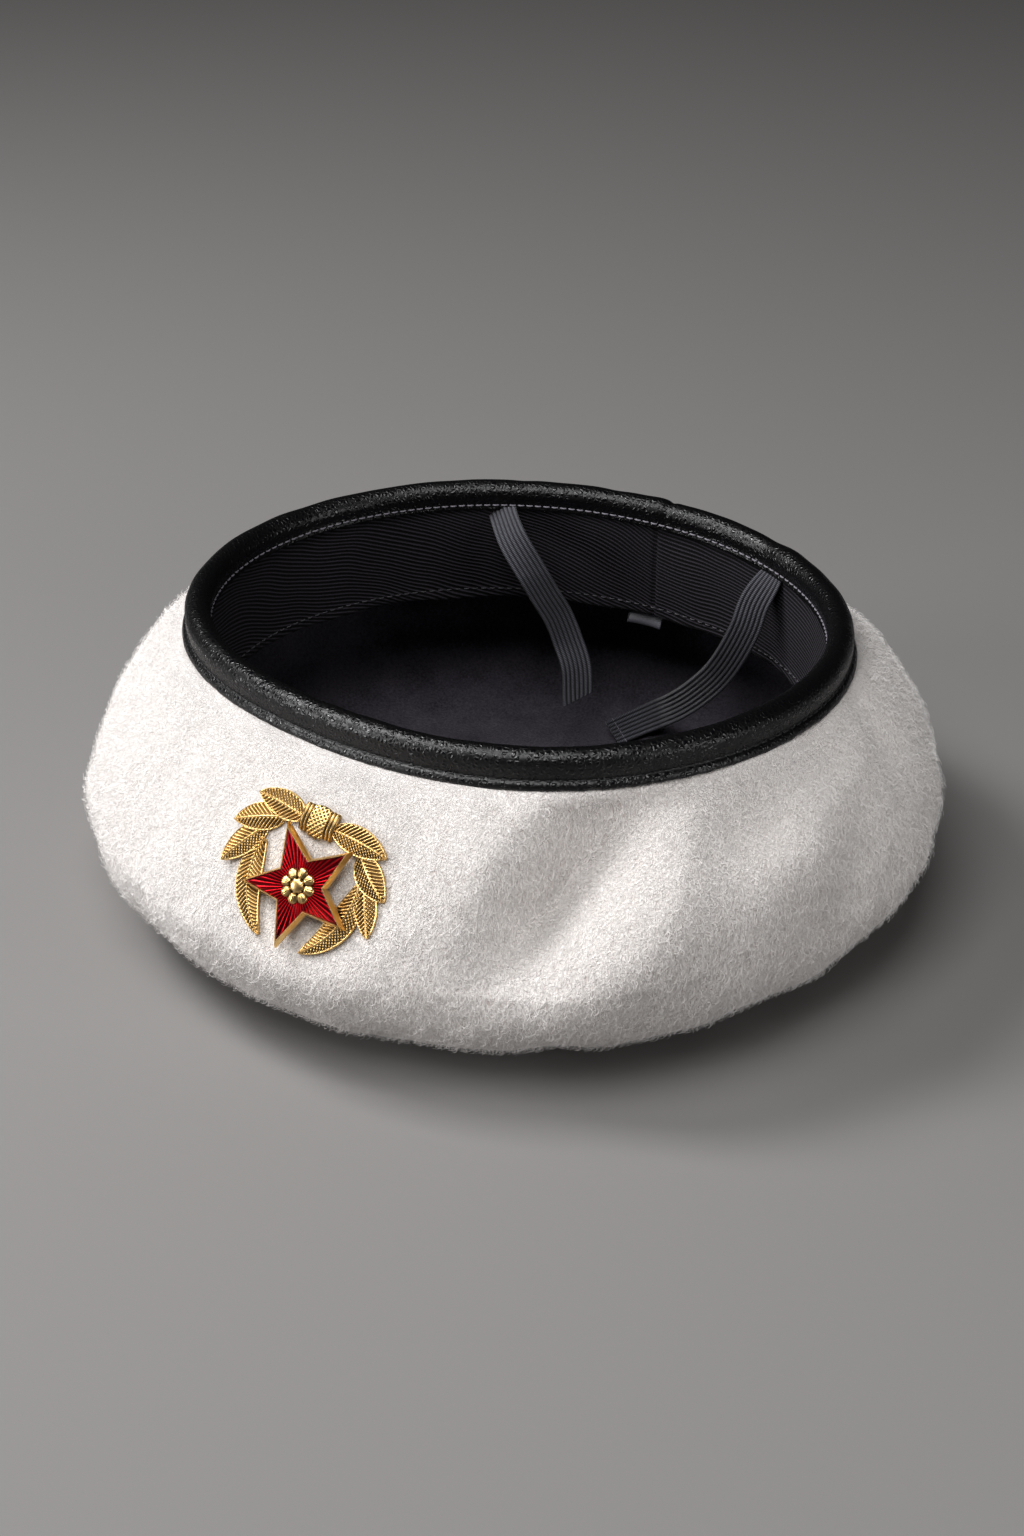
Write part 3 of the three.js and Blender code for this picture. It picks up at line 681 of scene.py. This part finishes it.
stitches = {name: stitch_tree(bonded_thread(name + "_thread", colour)) for name, colour in THREADS.items()}
seam_angles = all_round(720)
for row in SEAMS:
    points = rim_point(seam_angles, row.across, row.up)
    outs = unit(polar(row.out, seam_angles, row.rise))
    sewing = run_tree(stitches[row.thread], row.name, line_mesh(row.name, points, outs, True),
                      Pitch=row.pitch * MM, Length=row.length * MM, Width=row.width * MM)
    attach(sewing, "root")

# ------------------------ tapes
# Two loose ends of ribbed elastic tape, once tied behind the head. Each is sewn in under the lip
# and hangs into the crown: the left one stops in the air, the right one lands on the lining.

TAPE = Sizes(width=10.4, thickness=1.1, stand_off=-0.35, tucked=0.1, ribs=7, groove=0.42, weft=0.55)
# A route goes on from the root: where the middle of the tape is, which way it faces, and how far
# its face is tilted up. The top is sheared where it leaves the lip, and the end is cut aslant.
TAPE_LEFT = Sizes(name="left_tape", root=126.3, top=7.5, cut=5.0, steps=150, route=table(
    "at faces tilt",
    ((-37.0, 62.3, 84.0), -58, 0), ((-29.0, 61.2, 74.5), -36, 0), ((-24.4, 63.3, 65.4), -34, 0),
    ((-20.7, 65.4, 57.9), -40, 10), ((-16.8, 65.5, 49.7), -58, 28), ((-12.2, 63.2, 42.1), -62, 34),
    ((-9.6, 60.2, 31.4), -66, 36)))
TAPE_RIGHT = Sizes(name="right_tape", root=59.5, top=0.0, cut=0.0, steps=190, route=table(
    "at faces tilt",
    ((47.5, 76.5, 76.0), -75, 25), ((46.0, 73.5, 67.5), -60, 28), ((42.0, 73.0, 57.5), -58, 28),
    ((35.0, 76.0, 46.0), -58, 28), ((24.5, 81.5, 33.5), -58, 28), ((13.5, 88.0, 22.5), -58, 30),
    ((4.0, 93.0, 14.5), -58, 34), ((-2.0, 92.0, 10.5), -58, 46), ((-8.5, 83.0, 7.8), -58, 58)))
TAPE_HEM = Sizes(from_end=6, width=9.2, points=12, pitch=1.8, length=1.3, thick=0.3)


def elastic_tape():
    # Woven elastic: covered rubber cords side by side under fine dark grey weft, half a millimetre
    # apart. The grooves between the cords are painted near black as painted shade.
    made, place = new_material("elastic_tape", Roughness=0.7, Sheen_Weight=0.3, Sheen_Roughness=0.4,
                               Specular_IOR_Level=0.3)
    _, along = parts_of(node(made, "ShaderNodeUVMap", uv_map="surface"))
    weft = maths("SINE", maths("MULTIPLY", along, 2 * math.pi / TAPE.weft))
    height = maths("MULTIPLY_ADD", noisy(place, 0.45, 4), 2.0, weft)
    threads = blend(ranged(height, 0.0, 2.2), "#2A2A2F", "#74747D")
    depth = node(made, "ShaderNodeAttribute", out="Fac", attribute_name="recess")
    # Painted shade: points marked as deep in the grooves are painted near black.
    return finished(made, height, 0.5, 0.1, Base_Color=blend(depth, threads, "#060607"))


def flowing_line(points, shares):
    """A centripetal Catmull-Rom curve through points, read at shares of its length in points."""
    points = np.vstack([2 * points[0] - points[1], points, 2 * points[-1] - points[-2]])
    place = np.asarray(shares) * (len(points) - 3)
    index = np.minimum(place.astype(int), len(points) - 4)
    local = (place - index)[:, None]
    p0, p1, p2, p3 = (points[index + i] for i in range(4))
    d0, d1, d2 = (length(b - a)[:, None].clip(1e-6) ** 0.5
                  for a, b in ((p0, p1), (p1, p2), (p2, p3)))
    t1 = ((p1 - p0) / d0 - (p2 - p0) / (d0 + d1) + (p2 - p1) / d1) * d1
    t2 = ((p2 - p1) / d1 - (p3 - p1) / (d1 + d2) + (p3 - p2) / d2) * d1
    return (p1 + t1 * local + (-3 * p1 + 3 * p2 - 2 * t1 - t2) * local ** 2
            + (2 * p1 - 2 * p2 + t1 + t2) * local ** 3)


def tape_frames(tape):
    """Middle, side and face of the tape at each step along it."""
    across = BAND.across - TAPE.thickness / 2 - TAPE.stand_off
    along_rim = rim_point(tape.root - 1, across, 0) - rim_point(tape.root + 1, across, 0)
    root_faces = math.degrees(math.atan2(along_rim[1], along_rim[0])) - 90
    root = rim_point(tape.root, across, LIP.up + TAPE.tucked)
    points = np.array([root] + [row.at for row in tape.route])
    faces = np.array([root_faces] + [row.faces for row in tape.route])
    tilts = np.radians([0] + [row.tilt for row in tape.route])
    looks = polar(np.cos(tilts), faces, np.sin(tilts))
    shares = np.linspace(0, 1, tape.steps)
    middle = flowing_line(points, shares)
    ahead = unit(np.gradient(middle, axis=0))
    place = shares * (len(looks) - 1)
    look = np.stack([np.interp(place, np.arange(len(looks)), part) for part in looks.T], axis=-1)
    side = unit(np.cross(look, ahead))
    return middle, side, np.cross(ahead, side)


def set_recess(made, depths):
    """Marks how deep each point lies in the relief: the two fans at the ends lie level."""
    mark(made.data, "recess", np.concatenate([depths.ravel(), [0, 0]]))


def tape_mesh(tape):
    """A tape along its route, and the length that it was cut to."""
    middle, side, face = tape_frames(tape)
    across = np.linspace(1, -1, TAPE.ribs * 8 + 1)
    rib = (across + 1) / 2 * TAPE.ribs
    groove = (1 - 2 * np.abs(rib - np.round(rib))) ** 2
    height = TAPE.thickness / 2 - TAPE.groove * groove
    section = np.column_stack([np.concatenate([across, -across]), np.concatenate([height, -height])])[None]
    shares = np.linspace(0, 1, tape.steps)[:, None, None]
    slant = tape.top / 2 * (1 - smooth(shares, 0, 0.15)) - tape.cut / 2 * smooth(shares, 0.6, 1)
    slant = slant * section[..., :1]
    rings = (middle[:, None] + side[:, None] * section[..., :1] * TAPE.width / 2
             + face[:, None] * section[..., 1:] + np.cross(side, face)[:, None] * slant)
    made = skin(tape.name, rings, elastic_tape())
    set_recess(made, np.tile(np.concatenate([groove, groove]), tape.steps))
    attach(made, "root")
    return made, length(np.diff(middle, axis=0)).sum()


left_tape, left_length = tape_mesh(TAPE_LEFT)
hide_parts("tape_left")
right_tape, right_length = tape_mesh(TAPE_RIGHT)
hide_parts("tape_right")

middle, side, face = (part[-TAPE_HEM.from_end] for part in tape_frames(TAPE_RIGHT))
hem = middle + face * (TAPE.thickness / 2 - 0.05)
hem_points = hem + side * np.linspace(-0.5, 0.5, TAPE_HEM.points)[:, None] * TAPE_HEM.width
hem_line = line_mesh("tape_hem", hem_points, np.tile(face, (TAPE_HEM.points, 1)), False)
hem_sewing = run_tree(stitches["grey"], "tape_hem", hem_line, Pitch=TAPE_HEM.pitch * MM,
                      Length=TAPE_HEM.length * MM, Width=TAPE_HEM.thick * MM)
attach(hem_sewing, "root")

# ------------------------ label
# A blank woven satin label, folded once and sewn in behind the sweatband's hem, near the back
# seam. It hangs below the band and swings a little inwards.

LABEL = Sizes(angle=92.4, width=13.0, thickness=0.5, drop=4.2, hidden=6.2, lean=1.8, curl=0.5)


def woven_satin():
    # Grey polyester satin: long floats of bright yarn, about 2 mm by 0.2 mm, across the label.
    made, _ = new_material("woven_satin", Roughness=0.45, Sheen_Weight=0.2)
    surface = node(made, "ShaderNodeUVMap", uv_map="surface")
    stretched = node(made, "ShaderNodeMapping", Vector=surface, Scale=(0.5, 6.0, 1))
    floats = node(made, "ShaderNodeTexNoise", Vector=stretched, Scale=1.0, Detail=3)
    return finished(made, floats, 0.4, 0.08, Base_Color=blend(floats, "#313137", "#57575F"))


half_turn = math.degrees(LABEL.width / 2 / (RIM.radius + wave(RIM_RADIUS_WAVES, LABEL.angle)))
label_top = bottom + LABEL.hidden
label_end = bottom - LABEL.drop
up = label_top + (label_end - label_top) * np.linspace(0, 1, 18)
swing = LABEL.lean * smooth(-up, -bottom + 0.4, -label_end)
front = outside + CLEARANCE - swing
back = outside + CLEARANCE + LABEL.thickness - swing
across = np.concatenate([front, [(front[-1] + back[-1]) / 2], back[::-1]])
up = np.concatenate([up, [label_end - 0.2], up[::-1]])
curl = LABEL.curl * smooth(-up, -bottom, -label_end)
rings = [rim_point(LABEL.angle + half_turn * side, across - curl * side ** 2, up)
         for side in np.linspace(1, -1, 21)]
label = skin("blank_label", np.stack(rings), woven_satin())
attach(label, "root")
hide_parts("label_tab")

# ------------------------ badge wreath
# The wreath is stamped from thin brass and gilt: eight overlapping leaves with raised edges, a
# midrib and slanting veins, tied by a knot of two fillets on each side of a hatched band.

LEAVES = table(
    "root tip width bow sink hatched",
    ((-12.3, -14.9), (-24.8, -5.2), 8.6, -0.6, 0.7, -1),
    ((-16.4, -8.4), (-23.8, 6.2), 7.2, 0.2, 0.9, 1),
    ((-15.6, -7.6), (-5.8, 17.8), 8.2, 3.9, 0.6, 1),
    ((-1.5, -18.0), (-20.6, -16.6), 8.4, 0.5, 0.0, -1),
    ((12.8, -16.0), (28.0, -9.4), 8.2, 0.5, 0.7, 0),
    ((17.6, -12.2), (27.3, 2.8), 7.6, 0.2, 0.9, 1),
    ((17.0, -8.6), (7.8, 18.0), 7.9, 4.3, 0.6, 0),
    ((7.0, -18.0), (23.6, -19.6), 8.2, 0.4, 0.0, -1))
LEAF = Sizes(edge=0.75, dome=0.6, bead=0.3, bead_width=0.3, midrib=0.34, midrib_width=0.2,
             vein=0.46, pitch=1.22, fine_pitch=1.1, hatch_pitch=1.3)
KNOT = Sizes(x=2.75, y=-18.5, length=11, width=9.4, height=2.2, hatch_pitch=1.5,
             hatch=0.28, bead_pitch=1.15, bead=0.45)


def gilt_brass():
    # Gilt brass, stamped and lacquered: warm gold on the high parts and brown in the recesses, where
    # old lacquer stays and shade is painted in.
    made, place = new_material("gilt_brass", Metallic=1.0)
    wear = noisy(place, 1.2, 4)
    depth = node(made, "ShaderNodeAttribute", out="Fac", attribute_name="recess")
    # The recesses are painted dark brown: old lacquer, with painted shade.
    colour = blend(depth, blend(wear, "#DDB066", "#F6DCA8"), "#40260B")
    return finished(made, wear, 0.16, 0.05, Base_Color=colour,
                    Roughness=ranged(wear, 0.0, 1.0, 0.24, 0.42))


def badge_point(flat):
    """Points given as x, y and height on the badge, in millimetres of the beret."""
    return badge_foot + flat[..., :1] * badge_right + flat[..., 1:2] * badge_up + flat[..., 2:] * badge_out


def ripple(place, pitch):
    return 0.5 + 0.5 * np.cos(2 * np.pi * place / pitch)


def stamped(name, x, y, height, recess, flip=False):
    """A stamped strip of the badge: its relief across each station, closed by a flat underside."""
    top = stacked(x, y, height)
    under = np.concatenate([top[:, -1:], top[:, :1]], axis=1) * (1, 1, 0)
    rings = np.concatenate([top, under], axis=1)
    depths = np.concatenate([recess, np.zeros((len(top), 2))], axis=1)
    if flip:
        rings, depths = rings[:, ::-1], depths[:, ::-1]
    made = skin(name, badge_point(rings))
    set_recess(made, depths)
    return made


def leaf(row):
    root, tip = np.array(row.root), np.array(row.tip)
    outward = unit(np.array([tip[1] - root[1], root[0] - tip[0]]))
    outward = outward * np.sign(outward @ root)
    middle = (root + tip) / 2 + outward * 2 * row.bow
    share = np.linspace(0.02, 0.995, 170)[:, None]
    rib = (1 - share) ** 2 * root + 2 * share * (1 - share) * middle + share ** 2 * tip
    ahead = unit((1 - share) * (middle - root) + share * (tip - middle))
    half = row.width / 2 * np.sin(np.pi * share ** 0.85) ** 0.7
    run = np.concatenate([[0], np.cumsum(length(np.diff(rib, axis=0)))])[:, None]
    across = np.linspace(-1, 1, 47)[None]
    off = np.abs(across) * half
    inset = half - off
    veins = ripple(run - 0.8 * off, LEAF.pitch)
    crossing = 0.5 + 0.5 * ripple(run + 1.3 * off, LEAF.hatch_pitch)
    hatch = ripple(run - 0.9 * off, LEAF.fine_pitch) * crossing
    veins = np.where(across * row.hatched > 0, hatch, veins)
    field = smooth(off, 0.25, 0.5) * smooth(inset, 0.3, 0.6)
    height = (LEAF.edge + LEAF.dome * (1 - across ** 2) + LEAF.bead * hump(inset, LEAF.bead_width)
              + LEAF.midrib * hump(off, LEAF.midrib_width) + field * LEAF.vein * (veins - 0.35))
    height = height - row.sink * (1 - smooth(share, 0.0, 0.55)) - 0.25 * smooth(share, 0.9, 1)
    x = rib[:, :1] - ahead[:, 1:] * (across * half)
    y = rib[:, 1:] + ahead[:, :1] * (across * half)
    return stamped("leaf", x, y, np.maximum(height, 0.15), field * (1 - veins) * 0.85, flip=True)


def knot():
    run = np.linspace(-0.5, 0.5, 130)[:, None] * KNOT.length
    far = np.abs(run)
    band_part = 1 - smooth(far, 2.6, 3.0)
    beads = ripple(far - 3.65, KNOT.bead_pitch) * smooth(far, 2.8, 3.1)
    half = KNOT.width / 2 * (0.86 + 0.14 * np.cos(np.clip(far / 3.0, 0, 1) * np.pi / 2)) + 0.15 * beads
    across = np.linspace(-1, 1, 61)[None]
    y = across * half
    hatch = np.maximum(ripple(run + y, KNOT.hatch_pitch), ripple(run - y, KNOT.hatch_pitch))
    height = KNOT.height * (1 - 0.55 * np.abs(across) ** 2.4) - 0.35 * smooth(far, 2.7, 3.0)
    height = height + KNOT.bead * beads + band_part * KNOT.hatch * (hatch - 0.4)
    recess = band_part * (1 - hatch) * 0.9 + (1 - band_part) * (1 - beads) * 0.8
    return stamped("knot", run + KNOT.x, y + KNOT.y, height, recess)


def join(name, parts):
    """Joins objects into the first one, which takes the name."""
    with bpy.context.temp_override(active_object=parts[0], selected_editable_objects=parts):
        bpy.ops.object.join()
    parts[0].name = name
    return parts[0]


gilt = gilt_brass()
wreath = join("leaf_wreath", [leaf(row) for row in LEAVES] + [knot()])
wreath.data.materials.append(gilt)
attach(wreath, "root")
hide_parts("badge_wreath")

# ------------------------ badge star
# A five-pointed star of the same brass stands on the wreath: sloping outer walls, a bright flat
# rim and a recess, filled with translucent red enamel over an engine-turned sunburst.

STAR_TURN = -1.3
STAR_SECTIONS = table(
    "height tip notch",
    (1.9, 18.7, 8.2), (2.1, 18.9, 8.3), (3.0, 18.9, 8.3), (3.25, 18.75, 8.22), (4.4, 17.65, 7.72),
    (4.6, 17.4, 7.62), (4.6, 16.8, 7.34), (4.45, 16.6, 7.25), (3.6, 16.3, 7.1))
ENAMEL = Sizes(low=3.9, edge=4.32, crown=0.22, tip=16.42, notch=7.16, rays=52)


def star_ring(tip, notch, height, steps):
    """Points round a star, counterclockwise, with the same number on each of its ten sides."""
    turns = 90 + STAR_TURN + np.arange(11) * 36
    corners = polar(np.where(np.arange(11) % 2 == 0, tip, notch), turns, height)
    share = (np.arange(steps) / steps)[None, :, None]
    return (corners[:-1, None] + (corners[1:] - corners[:-1])[:, None] * share).reshape(-1, 3)


def translucent_enamel():
    # Fired transparent red enamel over bright metal, under a smooth glassy face. The sunburst cut in
    # the metal is painted into the red as its reflection: painted glints on the rays, painted shade in
    # their valleys, brighter towards the middle.
    made, _ = new_material("translucent_enamel", Metallic=0.85, Roughness=0.3, Coat_Weight=0.5,
                           Coat_Roughness=0.03)
    place = node(made, "ShaderNodeAttribute", out="Vector", attribute_name="badge_place")
    x, y = parts_of(place)
    # Painted reflection of the sunburst: bright on the rays, shaded in the valleys, fading outwards.
    phase = maths("MULTIPLY", maths("ARCTAN2", y, x), ENAMEL.rays / 2)
    ray = maths("ABSOLUTE", maths("SINE", phase))
    radius = node(made, "ShaderNodeVectorMath", place, out="Value", operation="LENGTH")
    light = maths("MULTIPLY", ray, ranged(radius, 2.0, 15.0, 1.0, 0.35))
    return finished(made, ray, 0.8, 0.45, Base_Color=blend(light, "#3A0005", "#C2051A"))


rings = np.stack([star_ring(row.tip, row.notch, row.height, 12) for row in STAR_SECTIONS])
star = skin("star_rim", badge_point(rings), gilt)
star.data.set_sharp_from_angle(angle=math.radians(28))
set_recess(star, np.zeros(rings.shape[:2]))
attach(star, "root")
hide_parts("badge_star")

outline = star_ring(ENAMEL.tip, ENAMEL.notch, 0, 14)
shares = np.concatenate([[0.999, 1.0], np.linspace(0.985, 0.03, 30)])[:, None, None]
heights = ENAMEL.edge + ENAMEL.crown * (1 - shares[1:] ** 2) - 0.12 * (shares[1:] == 1)
heights = np.concatenate([[[[ENAMEL.low]]], heights])
flat = outline * shares + heights * (0, 0, 1)
enamel = skin("red_enamel", badge_point(flat), translucent_enamel())
mark(enamel.data, "badge_place", np.vstack([(flat * (1, 1, 0)).reshape(-1, 3), np.zeros((2, 3))]))
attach(enamel, "root")
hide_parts("badge_enamel")

# ------------------------ badge rosette and post
# A small plain rosette of eight petals is set on the enamel, and the post behind the star goes
# through the felt to a round plate under the lining.

ROSETTE = Sizes(radius=5.4, petals=8, scallop=1.3, height=4.5, dome=0.95, boss=2.0)

turns = all_round(ROSETTE.petals * 32)
petal = np.abs(np.cos(np.radians(turns * ROSETTE.petals / 2)))[None]
share = np.concatenate([[1.0], np.linspace(1, 0.03, 44)])[:, None]
reach = (ROSETTE.radius - ROSETTE.scallop * (1 - petal ** 0.6)) * share
petals = ROSETTE.dome * (1 - share ** 6) ** 0.5 * (0.45 + 0.55 * petal ** 0.7)
veins = 0.07 * ripple(turns[None] * ROSETTE.petals * 5 / 360, 1.0) * smooth(share, 0.5, 0.6)
boss = smooth(ROSETTE.boss - reach, 0, 0.25)
ring = hump(reach - ROSETTE.boss - 0.35, 0.25)
height = petals * (1 - 0.35 * ring) + veins * petal
height = height * (1 - boss) + boss * (0.75 + 0.6 * (1 - (reach / ROSETTE.boss).clip(0, 1) ** 2) ** 0.5)
height = height + ROSETTE.height
height[0] = ROSETTE.height - 0.15
rosette = skin("rosette", badge_point(polar(reach, turns[None], height)), gilt)
set_recess(rosette, np.clip(ring * 0.8 + (1 - petal ** 0.5) * (1 - boss), 0, 1) * np.ones_like(reach))
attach(rosette, "root")
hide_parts("badge_rosette")


def turned_steel():
    # Plain turned steel with fine marks of the tool.
    made, place = new_material("turned_steel", Base_Color=linear("#B9B9BB"), Metallic=1.0,
                               Roughness=0.38)
    return finished(made, noisy(place, 0.4, 3), 0.3, 0.03)


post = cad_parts["badge_post"]
post.data.materials.clear()
post.data.materials.append(turned_steel())

# ------------------------ floor, light and camera
# A plain pale grey floor and a dim pale room. The light is soft: a key light from the upper left,
# a low one below it, the widest from above and a weak low one from the right.

FLOOR = Sizes(size=8000, below=0.4)
VIEW = Sizes(azimuth=31.5, elevation=29.0, distance=0.822, lens=60.0, film=36.0, aim=(0, 0, 0.045),
             shift=(0.0013, -0.0153), gamma=0.85)
ROOM = Sizes(colour="#E9EAEC", strength=0.03)
LIGHTS = table(
    "name azimuth elevation distance size power",
    ("key", -70, 51, 1.5, 0.5, 15.0),
    ("left", -46, 14, 1.5, 0.5, 9.6),
    ("top", 8, 62, 1.5, 0.9, 15.5),
    ("right", 82, 14, 1.5, 0.6, 5.5))


def pale_floor():
    # Matt pale grey paper.
    return new_material("pale_paper", Base_Color=linear("#8F8D8C"), Roughness=0.9,
                        Specular_IOR_Level=0.2)[0]


def stand(name, data, azimuth, elevation, distance):
    """Puts a light or a camera round the object: azimuth 0 is the front, and 90 the right."""
    turn, rise = math.radians(azimuth), math.radians(elevation)
    way = Vector((math.sin(turn) * math.cos(rise), -math.cos(turn) * math.cos(rise), math.sin(rise)))
    made = new_object(name, data)
    made.location = Vector(VIEW.aim) + way * distance
    made.rotation_euler = way.to_track_quat("Z", "Y").to_euler()
    return made


half, low = FLOOR.size / 2, -FLOOR.below
corners = np.array([(-half, -half, low), (half, -half, low), (half, half, low), (-half, half, low)])
floor_mesh = new_mesh("floor", corners, [], [(0, 1, 2, 3)])
floor_mesh.materials.append(pale_floor())
new_object("floor", floor_mesh)

for row in LIGHTS:
    lamp = bpy.data.lights.new(row.name, "AREA")
    lamp.size = row.size
    lamp.energy = row.power
    stand(row.name, lamp, row.azimuth, row.elevation, row.distance)

world = bpy.data.worlds.new("pale_room")
world.use_nodes = True
fill(world.node_tree.nodes["Background"], {"Color": linear(ROOM.colour), "Strength": ROOM.strength})
scene.world = world
scene.view_settings.view_transform = "Standard"
scene.view_settings.gamma = VIEW.gamma

lens = bpy.data.cameras.new("camera")
lens.lens = VIEW.lens
lens.sensor_width = VIEW.film
lens.shift_x, lens.shift_y = VIEW.shift
scene.camera = stand("camera", lens, VIEW.azimuth, VIEW.elevation, VIEW.distance)
